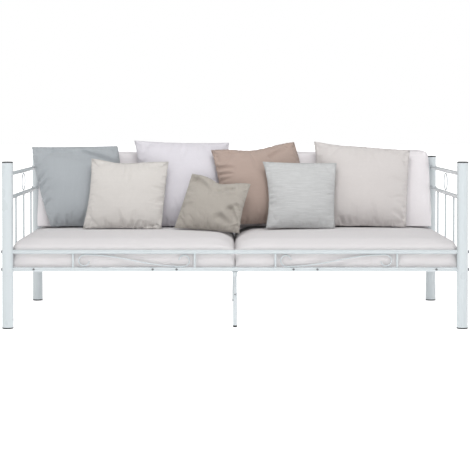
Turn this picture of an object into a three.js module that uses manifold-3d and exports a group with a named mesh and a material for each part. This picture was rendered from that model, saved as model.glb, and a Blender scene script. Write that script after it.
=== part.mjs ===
// A metal daybed: tubular frame with scroll and ring ornaments, slat panels, seat and back
// cushions and seven throw pillows. Millimetres, +Z up, X along the length, the front faces -Y.
// The origin is on the floor under the middle of the bed.

import * as THREE from 'three';
import Module from 'manifold-3d';
import { mergeVertices } from 'three/addons/utils/BufferGeometryUtils.js';

const wasm = await Module();
wasm.setup();

// ---- Driving dimensions ------------------------------------------------------------------

const fitGap = 0.3; // between parts that touch or are welded together
const postSpan = 2039; // between post centres along X
const postDepth = 920; // between post centres along Y
const frameHeight = 750;

const post = { radius: 25.5, wall: 1.5 };
const capRim = 6;
const capPlugLength = 18;

const armRail = { radius: 9.5, wall: 1.2 };
const longRail = { radius: 9.5, wall: 1.5 };
const spindleRadius = 5;
const ornamentRadius = 3;
const topRailHeight = 691;
const midRailHeight = 584;
const upperRailHeight = 344.5;
const lowerRailHeight = 265.5;

const bolt = { radius: 3.9, headRadius: 8, headHeight: 3.5, length: 85, socketRadius: 2.6, socketDepth: 2 };
const boltHoleRadius = 4.5;
const railPlug = { length: 34, bore: 4.3 };

const armSpindlePitch = 230;
const frontBarPlaces = [-727, -181, 181, 727];
const backSpindlePitch = 204;
const backSpindlesPerSide = 4;
const ringHalfWidth = 50;
const backRingPitch = 680;
const scrollCentre = 453;
const scrollCurlPlace = 223; // from the scroll's centre to the centre of each curl
const scrollDiagonal = 147; // from the scroll's centre to where its rod reaches the rail

const slat = { width: 25, height: 15, wall: 1.2, top: 272.7, pitch: 106.6, perPanel: 6 };
const panelPitch = 6 * slat.pitch;
const stretcher = { width: 25, thickness: 3, place: 250 };

const beam = { side: 20, wall: 1.5 };
const hook = { inner: 9.8, outer: 12.3, width: 24 };
const leg = { place: 425, upperRadius: 7.2, lowerRadius: 8.4, wall: 1, upperEnd: 120, lowerEnd: 148 };
const legCollar = { radius: 9.4, bottom: 144, top: 155 };
const legFoot = { radius: 9.4, height: 9, plugEnd: 24 };

const seat = { bottom: 274, edge: 390, crown: 12, halfDepth: 446, inner: 1.5, outer: 1003, round: 20 };
const seatFall = { length: 92, depth: 38 }; // how the seat rounds off towards the middle gap
const leanAngle = THREE.MathUtils.degToRad(17); // of the back cushions and every pillow
const backCushion = { bottom: 404.5, top: 778, front: 190, thickness: 168, inner: 2, outer: 982, round: 28 };
const pillowBase = 404.5;
const rearPillowPlace = 121; // Y of the bottom edge of a pillow that leans on a back cushion
const seamHalfThickness = 5;
const pillowPullIn = 0.035; // how far a pillow's sides bow in between its corners
const sagPower = 4.5; // the higher, the fuller a pillow is near its bottom edge
const pillowDivisions = 8;

const postSides = 24;
const railSides = 12;
const rodSides = 8;

// ---- Materials ---------------------------------------------------------------------------

const finish = (color, roughness, metalness = 0) => ({ color, roughness, metalness });
const powderCoat = finish(0xd3dcdf, 0.35, 0.1);
const blackPlastic = finish(0x26282a, 0.6);
const darkSteel = finish(0x4a4d50, 0.4, 0.8);
const cushionFabric = finish(0xdedbdc, 0.9);

// ---- Shape helpers -----------------------------------------------------------------------

function signedVolume(geometry) {
  const points = geometry.attributes.position;
  const index = geometry.index.array;
  const [a, b, c] = [new THREE.Vector3(), new THREE.Vector3(), new THREE.Vector3()];
  let volume = 0;
  for (let i = 0; i < index.length; i += 3) {
    a.fromBufferAttribute(points, index[i]);
    b.fromBufferAttribute(points, index[i + 1]);
    c.fromBufferAttribute(points, index[i + 2]);
    volume += a.dot(b.cross(c)) / 6;
  }
  return volume;
}

// The same shape with shared corners merged and every face turned out.
function closed(geometry) {
  geometry.deleteAttribute('normal');
  geometry.deleteAttribute('uv');
  const merged = mergeVertices(geometry, 1e-4);
  if (signedVolume(merged) < 0) {
    merged.index.array.reverse();
  }
  return merged;
}

function toSolid(geometry) {
  const merged = closed(geometry);
  return new wasm.Manifold(new wasm.Mesh({
    numProp: 3,
    vertProperties: new Float32Array(merged.attributes.position.array),
    triVerts: new Uint32Array(merged.index.array),
  }));
}

function toGeometry(solid) {
  const { vertProperties, triVerts } = solid.getMesh();
  const geometry = new THREE.BufferGeometry();
  geometry.setAttribute('position', new THREE.BufferAttribute(vertProperties, 3));
  geometry.setIndex(new THREE.BufferAttribute(triVerts, 1));
  return geometry;
}

function joined(geometries) {
  return toGeometry(geometries.map(toSolid).reduce((sum, solid) => sum.add(solid)));
}

function cutFrom(geometry, cutters) {
  return toGeometry(cutters.map(toSolid).reduce((rest, cutter) => rest.subtract(cutter), toSolid(geometry)));
}

// Turns a shape built along Y so that it runs along the named axis.
function along(axis, geometry) {
  if (axis === 'x') {
    return geometry.rotateZ(-Math.PI / 2);
  }
  return axis === 'z' ? geometry.rotateX(Math.PI / 2) : geometry;
}

function revolved(profile, sides) {
  return new THREE.LatheGeometry(profile.map(([r, h]) => new THREE.Vector2(r, h)), sides);
}

function rod(axis, radius, from, to, sides) {
  const length = to - from;
  const geometry = new THREE.CylinderGeometry(radius, radius, length, sides);
  geometry.translate(0, from + length / 2, 0);
  return along(axis, geometry);
}

function pipe(axis, outer, inner, from, to, sides) {
  const profile = [[inner, from], [outer, from], [outer, to], [inner, to], [inner, from]];
  return along(axis, revolved(profile, sides));
}

// A long rail's tube has a threaded plug in each end.
function pluggedPipe(outer, wall, halfLength) {
  const inner = outer - wall;
  const plugStart = postSpan / 2 - post.radius - railPlug.length;
  const profile = [
    [railPlug.bore, -halfLength], [outer, -halfLength], [outer, halfLength], [railPlug.bore, halfLength],
    [railPlug.bore, plugStart], [inner, plugStart], [inner, -plugStart], [railPlug.bore, -plugStart],
    [railPlug.bore, -halfLength],
  ];
  return along('x', revolved(profile, railSides));
}

function upright(x, y, radius, from, to, sides) {
  return rod('z', radius, from, to, sides).translate(x, y, 0);
}

const postPlaces = [];
for (const [endName, y] of [['front', -postDepth / 2], ['back', postDepth / 2]]) {
  for (const [sideName, x] of [['left', -postSpan / 2], ['right', postSpan / 2]]) {
    postPlaces.push({ name: `${endName}_${sideName}`, x, y });
  }
}

// Room for each post, used to saddle the rail ends.
function postRoom() {
  return postPlaces.map(({ x, y }) => upright(x, y, post.radius + fitGap, 0, frameHeight, postSides));
}

const daybed = new THREE.Group();

function addPart(name, geometry, material, parent = daybed) {
  const mesh = new THREE.Mesh(closed(geometry), new THREE.MeshStandardMaterial(material));
  mesh.name = name;
  parent.add(mesh);
  return mesh;
}

// ---- Posts and their caps ----------------------------------------------------------------

function postTube(isBack) {
  const tube = pipe('z', post.radius, post.radius - post.wall, capRim + fitGap,
    frameHeight - capRim - fitGap, postSides);
  const heights = isBack
    ? [lowerRailHeight, upperRailHeight, midRailHeight, topRailHeight]
    : [lowerRailHeight, upperRailHeight];
  const holes = heights.map((height) =>
    rod('x', boltHoleRadius, -post.radius * 2, post.radius * 2, rodSides).translate(0, 0, height));
  return cutFrom(tube, holes);
}

function topCap() {
  const plugRadius = post.radius - post.wall - fitGap;
  const shoulder = frameHeight - capRim;
  const profile = [
    [0, shoulder - capPlugLength], [plugRadius, shoulder - capPlugLength], [plugRadius, shoulder],
    [post.radius, shoulder], [post.radius, frameHeight - 2.5], [post.radius - 2, frameHeight - 0.7],
    [0, frameHeight],
  ];
  return along('z', revolved(profile, postSides));
}

function footCap() {
  const plugRadius = post.radius - post.wall - fitGap;
  const profile = [
    [0, 0], [post.radius - 1, 0], [post.radius, 1], [post.radius, capRim], [plugRadius, capRim],
    [plugRadius, capRim + capPlugLength], [0, capRim + capPlugLength],
  ];
  return along('z', revolved(profile, postSides));
}

for (const { name, x, y } of postPlaces) {
  addPart(`post_${name}`, postTube(y > 0), powderCoat).position.set(x, y, 0);
  addPart(`top_cap_${name}`, topCap(), blackPlastic).position.set(x, y, 0);
  addPart(`foot_cap_${name}`, footCap(), blackPlastic).position.set(x, y, 0);
}

// ---- Arms --------------------------------------------------------------------------------

function armRailTube(x, height, { radius, wall }) {
  const half = postDepth / 2;
  const tube = pipe('y', radius, radius - wall, -half, half, railSides).translate(x, 0, height);
  return cutFrom(tube, postRoom());
}

function armSpindle(x, y) {
  const half = postDepth / 2;
  const cutters = [
    rod('y', armRail.radius + fitGap, -half, half, railSides).translate(x, 0, midRailHeight),
    rod('y', longRail.radius + fitGap, -half, half, railSides).translate(x, 0, lowerRailHeight),
  ];
  return cutFrom(upright(x, y, spindleRadius, lowerRailHeight, midRailHeight, rodSides), cutters);
}

// An oval ring of thin rod that fills the height between the top and the middle rail.
function ovalRing() {
  const halfHeight = (topRailHeight - midRailHeight) / 2 - armRail.radius - fitGap;
  const ring = new THREE.TorusGeometry(halfHeight - ornamentRadius, ornamentRadius, rodSides, 20);
  return ring.scale(ringHalfWidth / halfHeight, 1, 1).rotateX(Math.PI / 2);
}

const ringHeight = (topRailHeight + midRailHeight) / 2;

for (const [side, x] of [['left', -postSpan / 2], ['right', postSpan / 2]]) {
  addPart(`arm_top_rail_${side}`, armRailTube(x, topRailHeight, armRail), powderCoat);
  addPart(`arm_mid_rail_${side}`, armRailTube(x, midRailHeight, armRail), powderCoat);
  addPart(`arm_lower_rail_${side}`, armRailTube(x, lowerRailHeight, longRail), powderCoat);
  for (const [place, step] of [['front', -1], ['middle', 0], ['back', 1]]) {
    addPart(`arm_spindle_${side}_${place}`, armSpindle(x, step * armSpindlePitch), powderCoat);
  }
  const ring = addPart(`arm_ring_${side}`, ovalRing(), powderCoat);
  ring.position.set(x, 0, ringHeight);
  ring.rotation.z = Math.PI / 2;
}

// ---- Long rails --------------------------------------------------------------------------

function longRailTube(y, height, { radius, wall }) {
  return cutFrom(pluggedPipe(radius, wall, postSpan / 2).translate(0, y, height), postRoom());
}

// A rail with uprights welded under it, each ending in a saddle over the rail below.
function comb(y, height, section, footHeight, footRadius, places) {
  const footRoom = rod('x', footRadius + fitGap, -postSpan / 2, postSpan / 2, railSides)
    .translate(0, y, footHeight);
  const boreRoom = rod('x', section.radius - section.wall, -postSpan / 2 + 80, postSpan / 2 - 80, railSides)
    .translate(0, y, height);
  const uprights = places.map((x) =>
    cutFrom(upright(x, y, spindleRadius, footHeight, height, rodSides), [footRoom, boreRoom]));
  return joined([longRailTube(y, height, section), ...uprights]);
}

const frontY = -postDepth / 2;
const backY = postDepth / 2;
const backSpindlePlaces = [];
for (let i = -backSpindlesPerSide; i <= backSpindlesPerSide; i += 1) {
  backSpindlePlaces.push(i * backSpindlePitch);
}

addPart('front_upper_rail',
  comb(frontY, upperRailHeight, longRail, lowerRailHeight, longRail.radius, frontBarPlaces), powderCoat);
addPart('front_lower_rail', longRailTube(frontY, lowerRailHeight, longRail), powderCoat);
addPart('back_top_rail', longRailTube(backY, topRailHeight, armRail), powderCoat);
addPart('back_spindle_rail',
  comb(backY, midRailHeight, armRail, upperRailHeight, longRail.radius, backSpindlePlaces), powderCoat);
addPart('back_seat_rail', longRailTube(backY, upperRailHeight, longRail), powderCoat);
addPart('back_lower_rail', longRailTube(backY, lowerRailHeight, longRail), powderCoat);

for (const [place, step] of [['left', -1], ['centre', 0], ['right', 1]]) {
  const ring = addPart(`back_ring_${place}`, ovalRing(), powderCoat);
  ring.position.set(step * backRingPitch, backY, ringHeight);
}

// ---- Front scrolls -----------------------------------------------------------------------

// One half of the scroll, from its centre out to the end of its curl.
function scrollHalf() {
  const reach = (upperRailHeight - lowerRailHeight) / 2 - longRail.radius - fitGap - ornamentRadius;
  const points = [];
  const rise = new THREE.CubicBezierCurve3(
    new THREE.Vector3(0, 0, 0), new THREE.Vector3(scrollDiagonal * 0.5, 0, reach * 0.58),
    new THREE.Vector3(scrollDiagonal, 0, reach), new THREE.Vector3(scrollCurlPlace, 0, reach));
  points.push(...rise.getPoints(6));
  const turn = THREE.MathUtils.degToRad(265);
  const curlSteps = 12;
  for (let i = 1; i <= curlSteps; i += 1) {
    const angle = Math.PI / 2 - (turn * i) / curlSteps;
    const radius = reach * (1 - 0.16 * (i / curlSteps) ** 3);
    points.push(new THREE.Vector3(
      scrollCurlPlace + radius * Math.cos(angle), 0, radius * Math.sin(angle)));
  }
  return points;
}

function scroll() {
  const half = scrollHalf();
  const mirrored = half.slice(1).map((point) => point.clone().negate()).reverse();
  const path = new THREE.CatmullRomCurve3([...mirrored, ...half], false, 'centripetal');
  const section = new THREE.Shape().absarc(0, 0, ornamentRadius, 0, Math.PI * 2);
  return new THREE.ExtrudeGeometry(section, { steps: 46, extrudePath: path, curveSegments: rodSides / 2 });
}

const scrollHeight = (upperRailHeight + lowerRailHeight) / 2;
const scrollRight = addPart('front_scroll_right', scroll(), powderCoat);
scrollRight.position.set(scrollCentre, frontY, scrollHeight);
const scrollLeft = addPart('front_scroll_left', scroll().rotateZ(Math.PI), powderCoat);
scrollLeft.position.set(-scrollCentre, frontY, scrollHeight);

// ---- Slat panels -------------------------------------------------------------------------

function box(width, depth, height, x, y, z) {
  return new THREE.BoxGeometry(width, depth, height).translate(x, y, z);
}

function slatChannel(x) {
  const length = postDepth - 2 * (longRail.radius + fitGap);
  const middle = slat.top - slat.height / 2;
  const outside = box(slat.width, length, slat.height, x, 0, middle);
  const inside = box(slat.width - 2 * slat.wall, length + 2, slat.height, x, 0, middle - slat.wall);
  return cutFrom(outside, [inside]);
}

function slatPanel(centre) {
  const pieces = [];
  const half = ((slat.perPanel - 1) * slat.pitch) / 2;
  for (let i = 0; i < slat.perPanel; i += 1) {
    pieces.push(slatChannel(centre - half + i * slat.pitch));
  }
  const height = slat.top - slat.height - stretcher.thickness / 2 + 0.2;
  for (const y of [-stretcher.place, stretcher.place]) {
    pieces.push(box(2 * half + slat.width, stretcher.width, stretcher.thickness, centre, y, height));
  }
  return joined(pieces);
}

for (const [place, step] of [['left', -1], ['centre', 0], ['right', 1]]) {
  addPart(`slat_panel_${place}`, slatPanel(step * panelPitch), powderCoat);
}

// ---- Centre support ----------------------------------------------------------------------

const beamTop = lowerRailHeight - hook.inner - 1.2;

// A hook that wraps the lower rail from below, round the inside, to just over its top.
function beamHook() {
  const from = THREE.MathUtils.degToRad(-100);
  const to = THREE.MathUtils.degToRad(115);
  const outline = new THREE.Shape();
  outline.absarc(0, 0, hook.outer, from, to, false);
  outline.absarc(0, 0, hook.inner, to, from, true);
  const strap = new THREE.ExtrudeGeometry(outline,
    { depth: hook.width, bevelEnabled: false, curveSegments: 6 });
  strap.rotateX(Math.PI / 2).rotateZ(Math.PI / 2);
  return strap.translate(-hook.width / 2, frontY, lowerRailHeight);
}

function centreBeam() {
  const length = postDepth + 4;
  const middle = beamTop - beam.side / 2;
  const outside = box(beam.side, length, beam.side, 0, 0, middle);
  const bore = box(beam.side - 2 * beam.wall, length + 2, beam.side - 2 * beam.wall, 0, 0, middle);
  return joined([cutFrom(outside, [bore]), beamHook(), beamHook().rotateZ(Math.PI)]);
}

// A thin tube set into a wider one, held by a collar at the top of the wider tube.
function supportLeg() {
  const upper = pipe('z', leg.upperRadius, leg.upperRadius - leg.wall, leg.upperEnd,
    beamTop - beam.side - fitGap, railSides);
  const lower = pipe('z', leg.lowerRadius, leg.lowerRadius - leg.wall, legFoot.height + fitGap,
    leg.lowerEnd, railSides);
  const collar = pipe('z', legCollar.radius, leg.upperRadius - leg.wall / 2, legCollar.bottom,
    legCollar.top, railSides);
  return joined([upper, lower, collar]);
}

function legFootCap() {
  const plugRadius = leg.lowerRadius - leg.wall - fitGap;
  const profile = [
    [0, 0], [legFoot.radius - 1, 0], [legFoot.radius, 1], [legFoot.radius, legFoot.height],
    [plugRadius, legFoot.height], [plugRadius, legFoot.plugEnd], [0, legFoot.plugEnd],
  ];
  return along('z', revolved(profile, railSides));
}

addPart('centre_beam', centreBeam(), powderCoat);
for (const [place, y] of [['front', -leg.place], ['back', leg.place]]) {
  addPart(`centre_leg_${place}`, supportLeg(), powderCoat).position.set(0, y, 0);
  addPart(`centre_foot_${place}`, legFootCap(), blackPlastic).position.set(0, y, 0);
}

// ---- Rail bolts --------------------------------------------------------------------------

// Built along X with its head towards +X and the underside of the head at the origin.
function railBolt() {
  const dome = bolt.headHeight * 0.6;
  const profile = [
    [0, -bolt.length], [bolt.radius, -bolt.length], [bolt.radius, 0], [bolt.headRadius, 0],
    [bolt.headRadius, dome], [bolt.headRadius * 0.7, bolt.headHeight], [0, bolt.headHeight],
  ];
  const socket = rod('x', bolt.socketRadius, bolt.headHeight - bolt.socketDepth, bolt.headHeight + 1, 6);
  return cutFrom(along('x', revolved(profile, railSides)), [socket]);
}

const headPlace = postSpan / 2 + post.radius + fitGap;
for (const [side, sign] of [['left', -1], ['right', 1]]) {
  for (const [level, height] of [['upper', upperRailHeight], ['lower', lowerRailHeight]]) {
    const part = addPart(`rail_bolt_${side}_${level}`, railBolt(), darkSteel);
    part.position.set(sign * headPlace, frontY, height);
    part.rotation.z = sign < 0 ? Math.PI : 0;
  }
}

// ---- Seat and back cushions --------------------------------------------------------------

// A box whose grid lines crowd towards its edges, with every edge and corner rounded.
function roundedSlab(width, depth, height, round, divisions) {
  const geometry = new THREE.BoxGeometry(2, 2, 2, ...divisions);
  const points = geometry.attributes.position;
  const halves = [width / 2, depth / 2, height / 2];
  const corner = new THREE.Vector3();
  const offset = new THREE.Vector3();
  for (let i = 0; i < points.count; i += 1) {
    for (const axis of [0, 1, 2]) {
      const half = halves[axis];
      const spread = points.getComponent(i, axis);
      const place = half * Math.sign(spread) * Math.abs(spread) ** (half > round ? 0.5 : 1);
      corner.setComponent(axis, THREE.MathUtils.clamp(place, round - half, half - round));
      offset.setComponent(axis, place - corner.getComponent(axis));
    }
    offset.setLength(round).add(corner);
    points.setXYZ(i, offset.x, offset.y, offset.z);
  }
  return geometry;
}

function seatCushion(sign) {
  const width = seat.outer - seat.inner;
  const depth = 2 * seat.halfDepth;
  const height = seat.edge - seat.bottom;
  const geometry = roundedSlab(width, depth, height, seat.round, [8, 6, 4]);
  const points = geometry.attributes.position;
  for (let i = 0; i < points.count; i += 1) {
    const [x, y, z] = [points.getX(i), points.getY(i), points.getZ(i)];
    const across = 1 - (2 * x / width) ** 2;
    const back = 1 - (y / seat.halfDepth) ** 2;
    const up = z / height + 0.5;
    const fall = Math.max(0, 1 - (x + width / 2) / seatFall.length) ** 2 * seatFall.depth;
    points.setZ(i, z + up * (seat.crown * across * back - fall));
  }
  geometry.translate(seat.inner + width / 2, 0, seat.bottom + height / 2);
  return sign < 0 ? geometry.rotateZ(Math.PI) : geometry;
}

// The cushion stands flat on the seat and leans back with parallel front and back faces.
function backCushionShape(sign) {
  const width = backCushion.outer - backCushion.inner;
  const height = backCushion.top - backCushion.bottom;
  const geometry = roundedSlab(width, backCushion.thickness, height, backCushion.round, [6, 4, 4]);
  geometry.translate(
    sign * (backCushion.inner + width / 2),
    backCushion.front + backCushion.thickness / 2,
    height / 2);
  const lean = new THREE.Matrix4().makeShear(0, 0, 0, 0, 0, Math.tan(leanAngle));
  return geometry.applyMatrix4(lean).translate(0, 0, backCushion.bottom);
}

for (const [side, sign] of [['left', -1], ['right', 1]]) {
  addPart(`seat_cushion_${side}`, seatCushion(sign), cushionFabric);
  addPart(`back_cushion_${side}`, backCushionShape(sign), cushionFabric);
}

// ---- Throw pillows -----------------------------------------------------------------------

// Each pillow lies in a plane that leans back like the back cushions. Its corners are [along X,
// up the slope], "forward" is how far it stands in front of the rear row, and "turn" in degrees
// brings its left edge forward.
const pillows = [
  {
    name: 'pillow_grey_blue', color: 0xa8b0b5, thickness: 124, forward: 0, turn: 0,
    bottomLeft: [-908, 4], bottomRight: [-600, 0], topRight: [-592, 408], topLeft: [-1018, 412],
  },
  {
    name: 'pillow_cream', color: 0xdbd5d0, thickness: 108, forward: 102, turn: 0,
    bottomLeft: [-737, 3], bottomRight: [-356, -1], topRight: [-325, 340], topLeft: [-705, 356],
  },
  {
    name: 'pillow_lavender', color: 0xdad5dc, thickness: 124, forward: 0, turn: 0,
    bottomLeft: [-490, 0], bottomRight: [-40, 0], topRight: [-27, 435], topLeft: [-504, 446],
  },
  {
    name: 'pillow_olive', color: 0xb8b2a6, thickness: 96, forward: 146, turn: -8,
    bottomLeft: [-294, 16], bottomRight: [23, -20], topRight: [80, 222], topLeft: [-208, 284],
  },
  {
    name: 'pillow_taupe', color: 0xb5a296, thickness: 118, forward: 24, turn: 13,
    bottomLeft: [-67, 2], bottomRight: [350, 30], topRight: [306, 451], topLeft: [-122, 381],
  },
  {
    name: 'pillow_light_grey', color: 0xd2d3d3, thickness: 108, forward: 98, turn: 5,
    bottomLeft: [151, 3], bottomRight: [488, 6], topRight: [505, 337], topLeft: [138, 335],
  },
  {
    name: 'pillow_beige', color: 0xd6cfca, thickness: 124, forward: 0, turn: 0,
    bottomLeft: [415, 3], bottomRight: [849, 0], topRight: [882, 395], topLeft: [402, 441],
  },
];

// A pincushion shape: full in the middle, thin at its seam, with sides that bow in.
function pillowShape({ bottomLeft, bottomRight, topRight, topLeft, thickness }) {
  const geometry = new THREE.BoxGeometry(2, 2, 2, pillowDivisions, pillowDivisions, 1);
  const points = geometry.attributes.position;
  const bulge = thickness / 2 - seamHalfThickness;
  for (let i = 0; i < points.count; i += 1) {
    const [u, v, face] = [points.getX(i), points.getY(i), points.getZ(i)];
    const a = (1 + u * (1 - pillowPullIn * (1 - v * v))) / 2;
    const b = (1 + v * (1 - pillowPullIn * (1 - u * u))) / 2;
    const place = (k) => (1 - b) * ((1 - a) * bottomLeft[k] + a * bottomRight[k])
      + b * ((1 - a) * topLeft[k] + a * topRight[k]);
    const full = ((1 - Math.abs(u) ** 2.4) * (1 - Math.abs(v) ** (v < 0 ? sagPower : 2.4))) ** 0.7;
    points.setXYZ(i, place(0), place(1), face * (seamHalfThickness + bulge * full));
  }
  return geometry;
}

for (const pillow of pillows) {
  const centre = (pillow.bottomLeft[0] + pillow.bottomRight[0] + pillow.topRight[0] + pillow.topLeft[0]) / 4;
  const turned = pillowShape(pillow).translate(-centre, 0, 0)
    .rotateY(THREE.MathUtils.degToRad(pillow.turn))
    .translate(centre, 0, 0);
  // the pillow's own up direction becomes the slope, and its front looks towards -Y
  turned.rotateX(Math.PI / 2 - leanAngle);
  const part = addPart(pillow.name, turned, finish(pillow.color, 0.95));
  part.position.set(0, rearPillowPlace - pillow.forward, pillowBase);
}

export default daybed;
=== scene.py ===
"""Looks of the metal daybed: powder-coated tube frame, slats, cushions and throw pillows."""

import math

import bpy
import numpy as np
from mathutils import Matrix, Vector, noise


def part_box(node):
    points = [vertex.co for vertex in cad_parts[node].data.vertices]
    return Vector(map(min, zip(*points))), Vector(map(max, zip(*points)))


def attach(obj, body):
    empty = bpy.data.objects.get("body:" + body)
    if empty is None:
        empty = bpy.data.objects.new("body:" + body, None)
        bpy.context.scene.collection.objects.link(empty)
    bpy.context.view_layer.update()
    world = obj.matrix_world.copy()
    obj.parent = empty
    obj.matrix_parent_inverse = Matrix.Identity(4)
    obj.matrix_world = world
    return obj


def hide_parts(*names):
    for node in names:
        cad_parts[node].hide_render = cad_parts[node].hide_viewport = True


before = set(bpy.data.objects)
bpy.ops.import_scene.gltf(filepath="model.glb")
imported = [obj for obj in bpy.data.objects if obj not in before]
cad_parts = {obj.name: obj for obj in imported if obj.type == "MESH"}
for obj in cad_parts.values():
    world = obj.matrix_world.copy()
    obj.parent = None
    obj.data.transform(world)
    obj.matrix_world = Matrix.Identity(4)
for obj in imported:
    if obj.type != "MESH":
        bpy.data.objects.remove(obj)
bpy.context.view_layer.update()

# ---- Numbers that the looks are built from (metres) --------------------------------------

CAMERA_PLACE = (-0.029, -6.320, 0.941)
LENS_MM = 100.3
SENSOR_MM = 36.0
SHIFT = (0.0136, -0.1895)
PITCH = math.radians(88.81)
CLIP_END = 100
BACKDROP_BRIGHTNESS = 1.0
ROOM_LIGHT = 0.48
LIGHT_TARGET = (0, 0, 0.4)
KEY_POWER = 135
FILL_POWER = 12
FLOOR_HALF = 40.0
FLOOR_WHITE = (0.97, 0.97, 0.97, 1)
FLOOR_GLOW = (0.62, 1.05)  # near the bed, and far from it
GLOW_REACH = (1.6, 5.0)  # how far from the bed's middle the glow starts to grow, and stops

SIM_FRAMES = 30
SOFT_GRAVITY = 0.06
PILLOW_CELLS = 52

LEAN = math.radians(17)
SEAM_RADIUS = 0.0008
SEAM_CREASE = 0.9
TUBE_SIDES = 6

# How full a pillow stays towards its bottom, top and sides: a higher power is fuller.
BOTTOM_POWER = 3.4
TOP_POWER = 2.05
SIDE_POWER = 2.4
FULLNESS_POWER = 0.78  # over the whole pillow, where a lower one is fuller

EDGE_ROOM = 0.004  # room that a pillow has at its seam
ROOM_MARGIN = 0.005  # taken off its half thickness before EDGE_ROOM is added
START_SWELL = 0.55  # part of its room that a pillow fills before the cloth runs
RESTING_SWELL = 0.62  # part of it that the pillow fills at the least afterwards
MOST_SWELL = 0.97
MOST_SLIDE = 0.012  # furthest that a spot may move along the pillow
LEAST_SWELL = 0.0012
FULL_FOLD_ROOM = 0.016  # cloth folds fade where there is less room than this

CREASE_DEPTH = 2.3
PUCKER_DEPTH = 1.9
PUCKER_RATE = 85  # how often folds follow each other along a seam
PUCKER_REACH = (0.024, 0.026)  # how far in they run: the middle value, and how it varies
LEAST_PUCKER_REACH = 0.012
SCALLOP_DEPTH = 1.3
SCALLOP_RATE = 110
SCALLOP_REACH = 0.010

POST = {"x": 1.0195, "y": 0.46, "radius": 0.0255}
RAIL_RADIUS = 0.0095
SPINDLE_RADIUS = 0.005
FRONT_BARS = (-0.727, -0.181, 0.181, 0.727)
BACK_SPINDLES = tuple(0.204 * i for i in range(-4, 5))
BEAM_END = 0.462
BEAM_HALF = 0.010
BEAD_RADIUS = 0.0011
SLAT_BOLT = (0.0052, 0.0028)  # radius and height of its head
POST_BOLT = (0.008, 0.0036)
LEG_BOLT = (0.0034, 0.0028)
LEG_BOLT_HEIGHT = 0.1495
SLAT_BOLTS = (-0.902, -0.369, -0.262, 0.262, 0.369, 0.902)
SCROLL_TACKS = (-0.650, -0.228, 0.228, 0.650)

SMOOTH_ANGLE = math.radians(38)
WELD_DISTANCE = 0.00002

SLAB_CELL = 0.020
SLAB_SWELL = 0.004  # furthest that the cloth may move a foam cushion, and its folds as much again
CALM_HEIGHT = 0.03  # the cloth moves it less below this height
SEAT_RADII = (0.002, 0.028)  # along the bottom and the top edges
BACK_RADII = (0.006, 0.026)
SEAT_CROWN = 0.012
SEAT_DROP = 0.001  # how far the seat's base lies below its CAD solid
SEAT_FRONT_FALL = 0.020
SEAT_FRONT_REACH = 0.12
BACK_THICKNESS = 0.168
BACK_SLUMP = 0.010
BACK_SLUMP_REACH = 0.3
GAP_REACH = 0.092
SEAT_GAP_FALL = 0.026
BACK_GAP_FALL = 0.022


# ---- Camera, light and floor -------------------------------------------------------------


def make_camera():
    data = bpy.data.cameras.new("camera")
    data.lens = LENS_MM
    data.sensor_width = SENSOR_MM
    data.shift_x, data.shift_y = SHIFT
    data.dof.use_dof = False
    data.clip_end = CLIP_END
    camera = bpy.data.objects.new("camera", data)
    camera.location = CAMERA_PLACE
    camera.rotation_euler = (PITCH, 0, 0)
    bpy.context.scene.collection.objects.link(camera)
    bpy.context.scene.camera = camera


def make_world():
    """A white backdrop all round, and a softer even light from it."""
    world = bpy.data.worlds.new("studio")
    world.use_nodes = True
    tree = world.node_tree
    background = tree.nodes["Background"]
    background.inputs["Color"].default_value = (1, 1, 1, 1)
    is_seen = add_node(tree, "ShaderNodeLightPath").outputs["Is Camera Ray"]
    inputs = {"Value": is_seen, "To Min": ROOM_LIGHT, "To Max": BACKDROP_BRIGHTNESS}
    level = add_node(tree, "ShaderNodeMapRange", inputs).outputs["Result"]
    tree.links.new(level, background.inputs["Strength"])
    bpy.context.scene.world = world


def area_light(name, place, size, power):
    data = bpy.data.lights.new(name, "AREA")
    data.shape = "RECTANGLE"
    data.size, data.size_y = size
    data.energy = power
    light = bpy.data.objects.new(name, data)
    light.location = place
    direction = Vector(LIGHT_TARGET) - Vector(place)
    light.rotation_euler = direction.to_track_quat("-Z", "Y").to_euler()
    bpy.context.scene.collection.objects.link(light)


def make_lights():
    """A broad key light from above and in front, and a weak fill for each arm."""
    area_light("key", (0.1, -2.5, 4.2), (4.0, 2.0), KEY_POWER)
    for name, sign in (("fill_left", -1), ("fill_right", 1)):
        area_light(name, (sign * 4.2, -3.0, 1.6), (2.0, 2.0), FILL_POWER)


def floor_material():
    """White, with a glow that grows away from the bed, so that no horizon shows."""
    graph = Graph("floor")
    place = graph.place()
    distance = graph.node("ShaderNodeVectorMath", {0: place}, operation="LENGTH").outputs["Value"]
    inputs = {"Value": distance}
    inputs["From Min"], inputs["From Max"] = GLOW_REACH
    inputs["To Min"], inputs["To Max"] = FLOOR_GLOW
    glow = graph.node("ShaderNodeMapRange", inputs).outputs["Result"]
    graph.tree.links.new(glow, graph.shader.inputs["Emission Strength"])
    return graph.finish(Base_Color=FLOOR_WHITE, Roughness=0.9, Emission_Color=(1, 1, 1, 1))


def make_floor():
    corners = [(x * FLOOR_HALF, y * FLOOR_HALF, 0) for x, y in ((-1, -1), (1, -1), (1, 1), (-1, 1))]
    floor = new_piece("floor", corners, [(0, 1, 2, 3)])
    floor.data.materials.append(floor_material())


# ---- Materials ---------------------------------------------------------------------------


def add_node(tree, kind, inputs=None, **settings):
    """A new node with its settings made, and its inputs linked or set."""
    made = tree.nodes.new(kind)
    for name, value in settings.items():
        setattr(made, name, value)
    for name, value in (inputs or {}).items():
        if isinstance(value, bpy.types.NodeSocket):
            tree.links.new(value, made.inputs[name])
        else:
            made.inputs[name].default_value = value
    return made


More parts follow.
